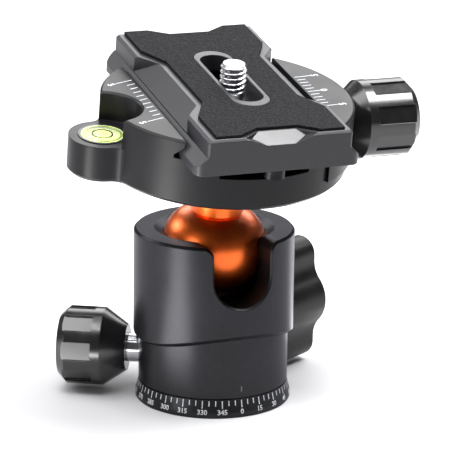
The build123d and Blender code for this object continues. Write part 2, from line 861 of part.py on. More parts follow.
with BuildPart() as waist_cut:
    with BuildSketch(plate_front):
        with BuildLine():
            Polyline(
                (waist_half, plate_top),
                (waist_outer, plate_top),
                (waist_outer, plate_top - waist_slope * (waist_outer - waist_half)),
                close=True,
            )
        make_face()
    extrude(amount=plate_half_length, both=True)
    with BuildSketch(plate_floor):
        with BuildLine():
            Polyline(
                (waist_half, -waist_short),
                (waist_outer, -waist_far),
                (waist_outer, waist_far),
                (waist_half, waist_short),
                close=True,
            )
        make_face()
    extrude(amount=plate_top, mode=Mode.INTERSECT)
    mirror(about=Plane.YZ.offset(plate_middle))

with BuildPart() as scoop_cut:
    with BuildSketch(Plane.YZ):
        with BuildLine():
            Polyline(
                (scoop_depth - plate_half_length, stem_reach + plate_top),
                (-plate_half_length, stem_reach + plate_top - scoop_drop),
                (-plate_half_length, stem_reach + plate_top),
                close=True,
            )
        make_face()
    extrude(amount=2 * scoop_half, both=True)
    with BuildSketch(plate_floor):
        with BuildLine():
            Polyline(
                (-scoop_half, -plate_half_length),
                (scoop_half, -plate_half_length),
                (scoop_inner_half, scoop_depth - plate_half_length),
                (-scoop_inner_half, scoop_depth - plate_half_length),
                close=True,
            )
        make_face()
    extrude(amount=plate_top, mode=Mode.INTERSECT)
    with BuildSketch(plate_front):
        with BuildLine():
            Polyline(
                (-scoop_low_half, plate_top - scoop_drop),
                (scoop_low_half, plate_top - scoop_drop),
                (scoop_half, plate_top),
                (-scoop_half, plate_top),
                close=True,
            )
        make_face()
    extrude(amount=plate_half_length, both=True, mode=Mode.INTERSECT)
    mirror(about=Plane.XZ)

with BuildPart() as camera_plate:
    with BuildSketch(plate_front):
        with BuildLine():
            Polyline(
                (-plate_flange_half, plate_bottom),
                (plate_flange_half, plate_bottom),
                (plate_flange_half, plate_bottom + plate_flange_rise),
                (plate_block_half, plate_shoulder),
                (-plate_block_half, plate_shoulder),
                (-plate_flange_half, plate_bottom + plate_flange_rise),
                close=True,
            )
        make_face()
    extrude(amount=plate_half_length, both=True)
    with BuildSketch(plate_floor):
        RectangleRounded(2 * plate_flange_half, 2 * plate_half_length, plate_flange_corner)
    extrude(amount=plate_top, mode=Mode.INTERSECT)
    with BuildSketch(plate_floor.offset(plate_shoulder)):
        RectangleRounded(2 * plate_block_half, 2 * plate_half_length, plate_block_corner)
    extrude(amount=plate_top - plate_shoulder)
    chamfer(camera_plate.faces().sort_by(Axis.Z)[-1].edges(), plate_chamfer)
    add(waist_cut.part, mode=Mode.SUBTRACT)
    add(scoop_cut.part, mode=Mode.SUBTRACT)
    # slot of the camera screw, its raised rim and the pocket of the screw's head
    with BuildSketch(plate_floor.offset(plate_top)):
        SlotOverall(rim_length, 2 * rim_half, rotation=90)
    extrude(amount=pad_thickness)
    with BuildSketch(plate_floor.offset(pocket_ceiling)):
        SlotOverall(slot_length, 2 * slot_half, rotation=90)
    extrude(amount=plate_top, mode=Mode.SUBTRACT)
    with BuildSketch(plate_floor.offset(plate_bottom)):
        SlotOverall(2 * pocket_half_length, 2 * pocket_half, rotation=90)
    extrude(amount=pocket_ceiling - plate_bottom, mode=Mode.SUBTRACT)
    for side in (-1, 1):
        stop_line = plate_floor.shift_origin((plate_middle, side * stop_screw_place, stem_reach))
        stop_bore_end = plate_bottom + stop_thread_length + slide_gap
        bore(stop_line, stop_thread_radius + fixed_gap, plate_bottom, stop_bore_end)
keep_on_head(camera_plate, "camera_plate")

with BuildPart() as plate_pad:
    with BuildSketch(plate_floor.offset(plate_top)):
        for direction in (-1, 1):
            with BuildLine():
                Polyline(
                    (0, -pad_scoop_length),
                    (direction * pad_scoop_half, -pad_scoop_length),
                    (direction * pad_scoop_outer, -pad_half_length),
                    (direction * pad_half, -pad_half_length),
                    (direction * pad_half, -pad_waist_long),
                    (direction * pad_waist_half, -pad_waist_short),
                    (direction * pad_waist_half, pad_waist_short),
                    (direction * pad_half, pad_waist_long),
                    (direction * pad_half, pad_half_length),
                    (direction * pad_scoop_outer, pad_half_length),
                    (direction * pad_scoop_half, pad_scoop_length),
                    (0, pad_scoop_length),
                    close=True,
                )
            make_face()
        SlotOverall(rim_length + 2 * rim_gap, 2 * (rim_half + rim_gap), rotation=90, mode=Mode.SUBTRACT)
    extrude(amount=pad_thickness)
keep_on_head(plate_pad, "plate_pad")

with BuildPart() as stop_screws:
    for side in (-1, 1):
        stop_line = plate_floor.shift_origin((plate_middle, side * stop_screw_place, stem_reach))
        turn(
            stop_line,
            [
                (0, plate_bottom - stop_screw_drop),
                (stop_screw_radius, plate_bottom - stop_screw_drop),
                (stop_screw_radius, plate_bottom),
                (stop_thread_radius, plate_bottom),
                (stop_thread_radius, plate_bottom + stop_thread_length),
                (0, plate_bottom + stop_thread_length),
            ],
        )
keep_on_head(stop_screws, "stop_screws")

# ======== camera screw: it spins in a washer that slides along the plate's pocket ========
camera_line = plate_floor.shift_origin((plate_middle, camera_screw_place, stem_reach))
washer_top = pocket_ceiling - slide_gap
camera_head_top = washer_top - camera_washer_thickness - slide_gap
camera_head_bottom = camera_head_top - camera_head_height

with BuildPart() as camera_washer:
    with BuildSketch(camera_line.offset(washer_top)):
        Circle(camera_washer_radius)
        Circle(camera_screw_radius + running_gap, mode=Mode.SUBTRACT)
    extrude(amount=-camera_washer_thickness)
keep_on_head(camera_washer, "camera_washer")

with BuildPart() as camera_screw:
    turn(
        camera_line,
        [
            (0, camera_head_bottom),
            (camera_head_radius, camera_head_bottom),
            (camera_head_radius, camera_head_top),
            (camera_shank_radius, camera_head_top),
            (camera_shank_radius, plate_top + pad_thickness),
            (camera_screw_radius, plate_top + pad_thickness),
            (camera_screw_radius, camera_screw_top - camera_tip_chamfer),
            (camera_screw_radius - camera_tip_chamfer, camera_screw_top),
            (0, camera_screw_top),
        ],
    )
    with BuildSketch(camera_line.offset(camera_head_bottom)):
        Rectangle(2 * camera_head_radius, coin_slot_width)
    extrude(amount=coin_slot_depth, mode=Mode.SUBTRACT)
keep_on_head(camera_screw, "camera_screw")
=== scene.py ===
import math

import bmesh
import bpy
from mathutils import Matrix, Vector
from mathutils.bvhtree import BVHTree


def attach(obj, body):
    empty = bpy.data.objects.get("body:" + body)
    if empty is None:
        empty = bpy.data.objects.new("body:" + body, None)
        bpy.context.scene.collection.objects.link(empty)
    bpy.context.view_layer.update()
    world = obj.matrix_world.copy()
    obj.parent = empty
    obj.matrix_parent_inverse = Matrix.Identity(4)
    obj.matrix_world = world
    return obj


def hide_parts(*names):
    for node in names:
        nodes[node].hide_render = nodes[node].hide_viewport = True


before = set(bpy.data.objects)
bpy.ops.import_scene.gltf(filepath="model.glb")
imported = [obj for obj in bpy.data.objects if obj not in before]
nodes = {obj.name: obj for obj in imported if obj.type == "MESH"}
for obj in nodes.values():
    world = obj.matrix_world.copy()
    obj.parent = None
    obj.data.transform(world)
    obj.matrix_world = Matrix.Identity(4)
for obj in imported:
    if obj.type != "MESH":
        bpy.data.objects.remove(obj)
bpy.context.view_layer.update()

# Tripod ball head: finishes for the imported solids, and the small pieces that sit on them.
# The head's lengths are in mm, and the studio's in metres.
mm = 0.001
print("frame loaded:", len(nodes), "nodes")

# The head leans on its ball: everything above the ball is drawn square, then set in this pose.
headSeat = {"ballHeight": 38.4, "tilt": 9.0, "turn": -2.0, "stemReach": 21.7}
clampPose = (
    Matrix.Translation((0, 0, headSeat["ballHeight"] * mm))
    @ Matrix.Rotation(math.radians(headSeat["tilt"]), 4, "X")
    @ Matrix.Rotation(math.radians(headSeat["turn"]), 4, "Z")
    @ Matrix.Translation((0, 0, headSeat["stemReach"] * mm))
)


def onClamp(x, y, z=0.0):
    return clampPose @ Matrix.Translation(Vector((x, y, z)) * mm)


def linear(hexCode):
    channels = [int(hexCode[i : i + 2], 16) / 255 for i in (1, 3, 5)]
    return [c / 12.92 if c <= 0.04045 else ((c + 0.055) / 1.055) ** 2.4 for c in channels] + [1.0]


def addNode(tree, kind, inputs=None, stops=(), **settings):
    # inputs are plain values or other nodes' outputs; stops are a ramp's places and hex colours
    node = tree.nodes.new(kind)
    for name, value in settings.items():
        setattr(node, name, value)
    for i, (position, hexCode) in enumerate(stops):
        node.color_ramp.elements[i].position = position
        node.color_ramp.elements[i].color = linear(hexCode)
    for socket, value in (inputs or {}).items():
        if isinstance(value, bpy.types.NodeSocket):
            tree.links.new(value, node.inputs[socket])
        else:
            node.inputs[socket].default_value = value
    return node


def perMetre(sizeMm):
    return 1 / (sizeMm * mm)  # a pattern's scale from its real size


def startMaterial(name):
    material = bpy.data.materials.new(name)
    material.use_nodes = True
    tree = material.node_tree
    tree.nodes.clear()
    where = addNode(tree, "ShaderNodeTexCoord").outputs["Object"]
    return material, tree, where


def closeMaterial(tree, shaderInputs):
    shader = addNode(tree, "ShaderNodeBsdfPrincipled", shaderInputs)
    addNode(tree, "ShaderNodeOutputMaterial", {"Surface": shader.outputs[0]})


noiseLow, noiseHigh = 0.3, 0.7  # a noise pattern hardly leaves this band of its 0 to 1
edgeSamples = 8


def mottle(tree, pattern, finish):
    # one pattern shifts tone and roughness together, as polishing and handling do
    low, high = finish["roughness"]
    tone = addNode(
        tree, "ShaderNodeValToRGB", {"Fac": pattern},
        stops=((noiseLow, finish["darkHex"]), (noiseHigh, finish["paleHex"])),
    )
    gloss = addNode(
        tree, "ShaderNodeMapRange",
        {"Value": pattern, "From Min": noiseLow, "From Max": noiseHigh, "To Min": low, "To Max": high},
    )
    return tone.outputs["Color"], gloss.outputs[0]


# The real grit is near 0.08 mm, too fine to show, so it is drawn coarser.
blasting = {"gritMm": 0.28, "pitMm": 0.03, "pitStrength": 0.25, "fleckHex": "#d8d8d8"}


def blastedAnodised(name, finish):
    # Anodised aluminium, bead blasted first: the fine pits spread every reflection into a satin band,
    # and the dyed oxide over them keeps the colour even, a little paler where hands rub it. Its edges
    # are broken, and show as thin bright lines.
    material, tree, where = startMaterial(name)
    grit = addNode(
        tree, "ShaderNodeTexNoise",
        {"Vector": where, "Scale": perMetre(blasting["gritMm"]), "Detail": 2.0, "Roughness": 0.6},
    )
    rubbed = addNode(
        tree, "ShaderNodeTexNoise",
        {"Vector": where, "Scale": perMetre(finish["rubMm"]), "Detail": 4.0, "Roughness": 0.55},
    )
    tone, gloss = mottle(tree, rubbed.outputs[0], finish)
    flecks = addNode(
        tree, "ShaderNodeValToRGB", {"Fac": grit.outputs[0]},
        stops=((noiseLow, blasting["fleckHex"]), (noiseHigh, "#ffffff")),
    )
    flecked = addNode(
        tree, "ShaderNodeMix", {"Factor": 1.0, "A": tone, "B": flecks.outputs["Color"]},
        data_type="RGBA", blend_type="MULTIPLY",
    )
    edge = addNode(tree, "ShaderNodeBevel", {"Radius": finish["edgeMm"] * mm}, samples=edgeSamples)
    pits = addNode(
        tree, "ShaderNodeBump",
        {
            "Height": grit.outputs[0], "Normal": edge.outputs[0],
            "Strength": blasting["pitStrength"], "Distance": blasting["pitMm"] * mm,
        },
    )
    closeMaterial(tree, {
        "Base Color": flecked.outputs["Result"], "Roughness": gloss, "Normal": pits.outputs[0],
        **finish["shader"],
    })
    return material


# The tool's lines are drawn level, so they run round every upright piece. Real ones lie about
# 0.05 mm apart, too fine to show, and each finish draws them four or five times as far apart.
turning = {"squeeze": (0.05, 0.05, 1.0), "depthMm": 0.02}


def turnedMetal(name, finish):
    # Turned, then buffed, plated, dyed or blackened: how far the polish went sets how sharp it
    # reflects. A slow haze breaks the reflection, and hair-thin lines run round the piece.
    material, tree, where = startMaterial(name)
    haze = addNode(
        tree, "ShaderNodeTexNoise",
        {"Vector": where, "Scale": perMetre(finish["hazeMm"]), "Detail": 3.0, "Roughness": 0.5},
    )
    tone, gloss = mottle(tree, haze.outputs[0], finish)
    squeezed = addNode(tree, "ShaderNodeMapping", {"Vector": where, "Scale": turning["squeeze"]})
    lines = addNode(
        tree, "ShaderNodeTexNoise",
        {"Vector": squeezed.outputs[0], "Scale": perMetre(finish["lineMm"]), "Detail": 2.0},
    )
    grooves = addNode(
        tree, "ShaderNodeBump",
        {
            "Height": lines.outputs[0],
            "Strength": finish["lineStrength"], "Distance": turning["depthMm"] * mm,
        },
    )
    closeMaterial(tree, {
        "Base Color": tone, "Metallic": 1.0, "Roughness": gloss, "Normal": grooves.outputs[0],
        **finish.get("shader", {}),
    })
    return material


skinDepthMm = 0.05


def smoothSkin(name, finish):
    # Moulded plastic, liquid and ink have no tool marks, only one even skin with a soft peel to it.
    material, tree, where = startMaterial(name)
    peel = addNode(
        tree, "ShaderNodeTexNoise",
        {"Vector": where, "Scale": perMetre(finish["peelMm"]), "Detail": 2.0, "Roughness": 0.5},
    )
    tone, gloss = mottle(tree, peel.outputs[0], finish)
    skin = addNode(
        tree, "ShaderNodeBump",
        {"Height": peel.outputs[0], "Strength": finish["peelStrength"], "Distance": skinDepthMm * mm},
    )
    if "edgeMm" in finish:
        edge = addNode(tree, "ShaderNodeBevel", {"Radius": finish["edgeMm"] * mm}, samples=edgeSamples)
        tree.links.new(edge.outputs[0], skin.inputs["Normal"])
    closeMaterial(tree, {
        "Base Color": tone, "Roughness": gloss, "Normal": skin.outputs[0], "IOR": finish["ior"],
        **finish.get("shader", {}),
    })
    return material


def crumbRubber(name, finish):
    # Rubber and cork crumb pressed into a sheet: matt and pebbled, its tone darker the deeper the surface
    # lies, so the pits come out dark between paler crumbs.
    material, tree, where = startMaterial(name)
    crumb = addNode(
        tree, "ShaderNodeTexVoronoi",
        {"Vector": where, "Scale": perMetre(finish["crumbMm"]), "Randomness": 1.0},
        feature="SMOOTH_F1",
    )
    cloud = addNode(
        tree, "ShaderNodeTexNoise",
        {"Vector": where, "Scale": perMetre(finish["cloudMm"]), "Detail": 5.0, "Roughness": 0.7},
    )
    depth = addNode(
        tree, "ShaderNodeMath", {0: crumb.outputs["Distance"], 1: cloud.outputs[0]}, operation="ADD"
    )
    raised, sunken = finish["toneDepths"]
    tone = addNode(
        tree, "ShaderNodeValToRGB", {"Fac": depth.outputs[0]},
        stops=((raised, finish["paleHex"]), (sunken, finish["darkHex"])),
    )
    low, high = finish["roughness"]
    gloss = addNode(
        tree, "ShaderNodeMapRange",
        {
            "Value": cloud.outputs[0], "From Min": noiseLow, "From Max": noiseHigh,
            "To Min": low, "To Max": high,
        },
    )
    pebbles = addNode(
        tree, "ShaderNodeBump",
        {
            "Height": depth.outputs[0],
            "Strength": finish["pebbleStrength"], "Distance": finish["pebbleMm"] * mm,
        },
        invert=True,
    )
    closeMaterial(tree, {
        "Base Color": tone.outputs["Color"], "Roughness": gloss.outputs[0],
        "Normal": pebbles.outputs[0], **finish["shader"],
    })
    return material


anodised = {
    "housingAnodised": {
        "darkHex": "#2a2a2c", "paleHex": "#303033", "roughness": (0.30, 0.37), "rubMm": 14.0,
        "edgeMm": 0.25,
        "shader": {"Metallic": 0.7, "Specular Tint": linear("#c8c8cc")},  # the dye swallows grazing light
    },
    "clampAnodised": {
        "darkHex": "#131315", "paleHex": "#171719", "roughness": (0.31, 0.38), "rubMm": 12.0,
        "edgeMm": 0.25, "shader": {"Specular IOR Level": 0.2},
    },
    "plateAnodised": {
        "darkHex": "#212125", "paleHex": "#27272b", "roughness": (0.34, 0.42), "rubMm": 10.0,
        "edgeMm": 0.3, "shader": {"Specular IOR Level": 0.42},
    },
}
turned = {
    "copperAnodised": {  # dyed oxide under a clear one: a wide, warm shine
        "darkHex": "#ea5e08", "paleHex": "#f56f12", "roughness": (0.34, 0.40),
        "hazeMm": 5.0, "lineMm": 0.25, "lineStrength": 0.04,
        "shader": {"Coat Weight": 0.5, "Coat Roughness": 0.3, "Coat IOR": 1.6},
    },
    "chromePlated": {  # nearly a mirror
        "darkHex": "#b2b2b6", "paleHex": "#c6c6c9", "roughness": (0.12, 0.18),
        "hazeMm": 3.0, "lineMm": 0.25, "lineStrength": 0.05,
    },
    "nickelPlated": {  # greyer and softer than chrome
        "darkHex": "#a2a2a6", "paleHex": "#b6b6b9", "roughness": (0.27, 0.33),
        "hazeMm": 3.0, "lineMm": 0.25, "lineStrength": 0.05,
    },
    "turnedSteel": {  # bright, with the tool's lines plain to see
        "darkHex": "#8d8d90", "paleHex": "#a6a6a8", "roughness": (0.25, 0.36),
        "hazeMm": 2.5, "lineMm": 0.2, "lineStrength": 0.3,
    },
    "blackOxide": {  # a dark skin that still shines as metal
        "darkHex": "#1d1d1f", "paleHex": "#29292b", "roughness": (0.3, 0.4),
        "hazeMm": 2.5, "lineMm": 0.2, "lineStrength": 0.2,
    },
    "turnedBrass": {  # yellow, with the tool's lines plain to see
        "darkHex": "#b08a45", "paleHex": "#c9a35a", "roughness": (0.24, 0.34),
        "hazeMm": 2.5, "lineMm": 0.2, "lineStrength": 0.3,
    },
}
moulded = {
    "glossNylon": {  # from a polished mould: small, bright highlights
        "darkHex": "#0e0e0f", "paleHex": "#131314", "ior": 1.5, "roughness": (0.20, 0.26),
        "peelMm": 2.5, "peelStrength": 0.01, "edgeMm": 0.12, "shader": {"Specular IOR Level": 0.8},
    },
    "satinNylon": {  # from a grained mould: wide, faint highlights
        "darkHex": "#0c0c0d", "paleHex": "#101011", "ior": 1.5, "roughness": (0.36, 0.42),
        "peelMm": 2.5, "peelStrength": 0.01, "edgeMm": 0.2, "shader": {"Specular IOR Level": 0.22},
    },
    "acetal": {  # waxy, with a soft shine
        "darkHex": "#161617", "paleHex": "#1d1d1e", "ior": 1.48, "roughness": (0.35, 0.45),
        "peelMm": 0.8, "peelStrength": 0.1,
    },
    "darkAcrylic": {  # the level's case
        "darkHex": "#16170f", "paleHex": "#1e1f16", "ior": 1.49, "roughness": (0.25, 0.35),
        "peelMm": 2.0, "peelStrength": 0.03,
    },
    "clearAcrylic": {  # the level's window: sharp highlights on what lies under it
        "darkHex": "#f0f6dc", "paleHex": "#f8fcee", "ior": 1.49, "roughness": (0.03, 0.06),
        "peelMm": 3.0, "peelStrength": 0.01, "shader": {"Alpha": 0.18},
    },
    "paintedRimHighlight": {  # a painted highlight: the window's bright rim, drawn as a pale ring
        "darkHex": "#a4b47c", "paleHex": "#bccb98", "ior": 1.49, "roughness": (0.15, 0.25),
        "peelMm": 2.0, "peelStrength": 0.02,
    },
    "greenAcrylic": {  # the window's edge, where it is seen end on
        "darkHex": "#5c6a2c", "paleHex": "#76863a", "ior": 1.49, "roughness": (0.2, 0.3),
        "peelMm": 2.0, "peelStrength": 0.02,
    },
}
# The level's dyed spirit and its bubble are given a painted glow of their own colour, which keeps them
# bright under the window.
liquids = {
    "levelSpirit": {
        "darkHex": "#c8e032", "paleHex": "#dcf04c", "ior": 1.36, "roughness": (0.2, 0.3),
        "peelMm": 2.0, "peelStrength": 0.02,
        "shader": {"Emission Color": linear("#d4f03c"), "Emission Strength": 0.25},
    },
    "levelAir": {  # the bubble, painted paler than the liquid as a highlight, with the same painted glow
        "darkHex": "#d6e840", "paleHex": "#e8f676", "ior": 1.36, "roughness": (0.1, 0.15),
        "peelMm": 2.0, "peelStrength": 0.02,
        "shader": {"Emission Color": linear("#dcf456"), "Emission Strength": 0.2},
    },
}
inks = {
    "laserWhite": {  # the laser bares pale metal: matt and grainy
        "darkHex": "#9a9ca0", "paleHex": "#c4c6ca", "ior": 1.5, "roughness": (0.55, 0.7),
        "peelMm": 0.3, "peelStrength": 0.2,
    },
    "laserGrey": {  # a lighter pass of the laser
        "darkHex": "#4c4d50", "paleHex": "#626367", "ior": 1.5, "roughness": (0.55, 0.7),
        "peelMm": 0.3, "peelStrength": 0.2,
    },
    "darkInk": {  # printed, matt, a very dark green
        "darkHex": "#20240c", "paleHex": "#2c3012", "ior": 1.5, "roughness": (0.5, 0.6),
        "peelMm": 0.3, "peelStrength": 0.1,
    },
}
pressed = {
    "corkRubber": {
        "darkHex": "#09090a", "paleHex": "#1f1f22", "toneDepths": (0.6, 1.0), "roughness": (0.75, 0.95),
        "crumbMm": 0.55, "cloudMm": 0.4,  # real crumb is near 0.3 mm, too fine to show here
        "pebbleMm": 0.12, "pebbleStrength": 0.7,
        "shader": {"Specular IOR Level": 0.15},
    },
}

finishes = {}
for recipes, makeFinish in (
    (anodised, blastedAnodised), (turned, turnedMetal), (moulded, smoothSkin),
    (liquids, smoothSkin), (inks, smoothSkin), (pressed, crumbRubber),
):
    for name, recipe in recipes.items():
        finishes[name] = makeFinish(name, recipe)
print("finishes made:", len(finishes))

worn = {
    "housingAnodised": ["housing", "panning_base", "pan_retainer"],
    "clampAnodised": ["clamp_base", "moving_jaw"],
    "plateAnodised": ["camera_plate"],
    "copperAnodised": ["ball"],
    "chromePlated": ["pan_lock_screw", "main_lock_screw"],
    "nickelPlated": ["camera_screw", "camera_washer"],
    "turnedSteel": [
        "pan_screw", "main_wedge", "guide_pins", "jaw_springs", "clamp_screw", "thrust_washer",
        "main_knob_pin",
    ],
    "blackOxide": ["stop_screws", "stem_screw"],
    "turnedBrass": ["main_bush", "pan_shoe"],
    "satinNylon": ["main_knob"],
    "glossNylon": ["pan_knob", "pan_knob_cap", "clamp_knob", "clamp_knob_cap"],
    "acetal": ["slip_ring", "seat_ring", "lower_cup", "ball_liner"],
    "corkRubber": ["plate_pad"],
    "darkAcrylic": ["level_case"],
    "levelSpirit": ["level_liquid"],
    "levelAir": ["level_bubble"],
    "clearAcrylic": ["level_lens"],
}
for finishName, nodeNames in worn.items():
    for nodeName in nodeNames:
        nodes[nodeName].data.materials.clear()
        nodes[nodeName].data.materials.append(finishes[finishName])
print("solids finished:", sum(len(names) for names in worn.values()))

sharpFrom = math.radians(35.0)  # edges that turn by more than this stay crisp


def finishPiece(shape, name, body, finishName):
    bmesh.ops.recalc_face_normals(shape, faces=shape.faces)
    for face in shape.faces:
        face.smooth = True
    for edge in shape.edges:
        edge.smooth = edge.calc_face_angle(0.0) < sharpFrom
    mesh = bpy.data.meshes.new(name)
    shape.to_mesh(mesh)
    shape.free()
    piece = bpy.data.objects.new(name, mesh)
    bpy.context.scene.collection.objects.link(piece)
    mesh.materials.append(finishes[finishName])
    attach(piece, body)
    return piece


def addBar(shape, place, centre, size):
    # a short raised bar; place(x, y, layer) sets its points on the surface it is marked on
    layers = []
    for layer in (0, 1):
        layers.append([
            shape.verts.new(place(centre[0] + i * size[0] / 2, centre[1] + j * size[1] / 2, layer))
            for i, j in ((-1, -1), (1, -1), (1, 1), (-1, 1))
        ])
        shape.faces.new(layers[-1])
    under, over = layers
    for i in range(4):
        j = (i + 1) % 4
        shape.faces.new((under[i], under[j], over[j], over[i]))


numeral = {
    "figureShare": 0.7,  # a figure's height as a share of the font's size
    "bolder": 0.035,  # added all round, as a share of its height
    "curveSteps": 3,  # points on each curved stretch
    "halfDepth": 0.5,  # any depth will do, place() sets the real one
    "bands": 8,  # cut across, so that long strokes follow the surface they lie on
}


def addDigits(shape, place, text, centre, height, turn=0.0):
    # raised numerals from Blender's own font, laid on the surface by place
    curve = bpy.data.curves.new("digits", "FONT")
    curve.body = text
    curve.size = height / numeral["figureShare"]
    curve.align_x = "CENTER"
    curve.align_y = "CENTER"
    curve.resolution_u = numeral["curveSteps"]
    curve.extrude = numeral["halfDepth"]
    curve.offset = numeral["bolder"] * height
    holder = bpy.data.objects.new("digits", curve)
    mesh = bpy.data.meshes.new_from_object(holder)
    strips = bmesh.new()
    strips.from_mesh(mesh)
    for band in range(-numeral["bands"] // 2, numeral["bands"] // 2 + 1):
        everything = strips.verts[:] + strips.edges[:] + strips.faces[:]
        cutAt = (0, band * height / numeral["bands"], 0)
        bmesh.ops.bisect_plane(strips, geom=everything, plane_co=cutAt, plane_no=(0, 1, 0))
    strips.to_mesh(mesh)
    strips.free()
    first = len(shape.verts)
    shape.from_mesh(mesh)
    shape.verts.ensure_lookup_table()
    c, s = math.cos(turn), math.sin(turn)
    for vert in shape.verts[first:]:
        x, y, z = vert.co
        vert.co = place(centre[0] + c * x - s * y, centre[1] + s * x + c * y, 0 if z < 0 else 1)
    bpy.data.meshes.remove(mesh)
    bpy.data.objects.remove(holder)
    bpy.data.curves.remove(curve)


# Panning dial: a degree scale etched round the base, and its index on the housing.
dial = {
    "top": 4.22, "longLine": 1.75, "shortLine": 1.2, "lineWidth": 0.24, "digitHeight": 1.15,
    "digitMiddle": 1.48, "stepDegrees": 5, "longEvery": 15, "sunk": 0.03, "proud": 0.02,
    "indexLow": 6.3, "indexHigh": 7.6, "indexWidth": 0.3, "measuredFrom": 50.0,
}


def surfaceOf(nodeName):
    return BVHTree.FromObject(nodes[nodeName], bpy.context.evaluated_depsgraph_get())


def wrapOn(surface, azimuth):
    # points given as (round the piece, height, 0 or 1 for under or over the surface), whose radius
    # at each height is measured by a ray from outside
    def place(x, y, layer):
        outside = Vector((0, -dial["measuredFrom"] * mm, y * mm))
        hit = surface.ray_cast(outside, Vector((0, 1, 0)))[0]
        radius = -hit.y / mm + (dial["proud"] if layer else -dial["sunk"])
        angle = math.radians(azimuth) + x / radius
        return Vector((radius * math.sin(angle), -radius * math.cos(angle), y)) * mm

    return place


marks = bmesh.new()
baseSurface = surfaceOf("panning_base")
for degrees in range(0, 360, dial["stepDegrees"]):
    long = degrees % dial["longEvery"] == 0
    length = dial["longLine"] if long else dial["shortLine"]
    place = wrapOn(baseSurface, degrees)
    addBar(marks, place, (0, dial["top"] - length / 2), (dial["lineWidth"], length))
    if long:
        addDigits(marks, place, str(degrees), (0, dial["digitMiddle"]), dial["digitHeight"])
finishPiece(marks, "dialMarks", "base", "laserWhite")

index = bmesh.new()
low, high = dial["indexLow"], dial["indexHigh"]
addBar(index, wrapOn(surfaceOf("housing"), 0), (0, (low + high) / 2), (dial["indexWidth"], high - low))
finishPiece(index, "dialIndex", "housing", "laserGrey")
print("panning dial marked")

# Sliding scales on both jaws, in the clamp's own frame: x across the channel, and y along it.
scales = {
    "leftScale": {
        "body": "clamp", "inner": -18.7, "side": -1, "first": 14.2, "step": -2.325, "slant": 19.0,
        "longLine": 4.7, "shortLine": 2.2, "digitPlace": 6.1, "texts": {0: "5", 10: "5"},
    },
    "rightScale": {
        "body": "moving_jaw", "inner": 21.0, "side": 1, "first": 9.0, "step": -1.82, "slant": 5.0,
        "longLine": 4.4, "shortLine": 2.3, "digitPlace": 5.5, "texts": {0: "5", 5: "0", 10: "5"},
    },
}
scaleMark = {
    "jawTop": 16.1, "count": 11, "middle": 5, "middleShort": 1.2, "width": 0.26, "digitHeight": 1.7,
    "sunk": 0.03, "proud": 0.02,
}


def leanOn(start, slant):
    # points given as (along a line of the scale, across it, 0 or 1 for under or over the jaw's top)
    c, s = math.cos(math.radians(slant)), math.sin(math.radians(slant))

    def place(x, y, layer):
        height = scaleMark["jawTop"] + (scaleMark["proud"] if layer else -scaleMark["sunk"])
        return clampPose @ (Vector((start.x + c * x - s * y, start.y + s * x + c * y, height)) * mm)

    return place


for name, scale in scales.items():
    marks = bmesh.new()
    side = scale["side"]
    for i in range(scaleMark["count"]):
        long = i in scale["texts"]
        shorter = scaleMark["middleShort"] if long and i == scaleMark["middle"] else 0.0
        length = (scale["longLine"] if long else scale["shortLine"]) - shorter
        start = Vector((scale["inner"], scale["first"] + i * scale["step"]))
        place = leanOn(start, scale["slant"])
        addBar(marks, place, (side * length / 2, 0), (length, scaleMark["width"]))
        if long:
            middle = (side * (scale["digitPlace"] - shorter), 0)
            upright = side * math.pi / 2
            addDigits(marks, place, scale["texts"][i], middle, scaleMark["digitHeight"], upright)
    finishPiece(marks, name, scale["body"], "laserWhite")
print("jaw scales marked")

# Camera screw: the solid's shape with its real thread, 1/4 inch by 20 turns an inch.
stud = {
    "across": 1.1, "along": -1.0, "headBottom": 12.9, "headTop": 15.9, "headRadius": 7.2,
    "headChamfer": 0.3, "slotWidth": 1.6, "slotDepth": 1.4, "slotReach": 2.2,  # of the head's radius
    "shankRadius": 2.75, "threadStart": 17.9, "top": 25.1, "tipChamfer": 0.6,
    "outerRadius": 3.175, "rootRadius": 2.55, "pitch": 1.27, "runOut": 0.5,  # of the pitch
    "crestTo": 0.2, "rootFrom": 0.88,  # of the way from the middle of a crest to that of a root
    "around": 96, "rowsPerPitch": 14,
}


def threadRadius(height, angle):
    turns = (height - stud["threadStart"]) / stud["pitch"] - angle / (2 * math.pi)
    wave = abs((turns % 1.0) - 0.5) * 2  # 0 at the crest, 1 at the root
    rise = (stud["rootFrom"] - wave) / (stud["rootFrom"] - stud["crestTo"])
    rise = min(1.0, max(0.0, rise))
    radius = stud["rootRadius"] + (stud["outerRadius"] - stud["rootRadius"]) * rise
    fade = (height - stud["threadStart"]) / (stud["runOut"] * stud["pitch"])
    fade = min(1.0, max(0.0, fade))
    radius = stud["shankRadius"] + (radius - stud["shankRadius"]) * fade
    return min(radius, stud["outerRadius"] - stud["tipChamfer"] + (stud["top"] - height))


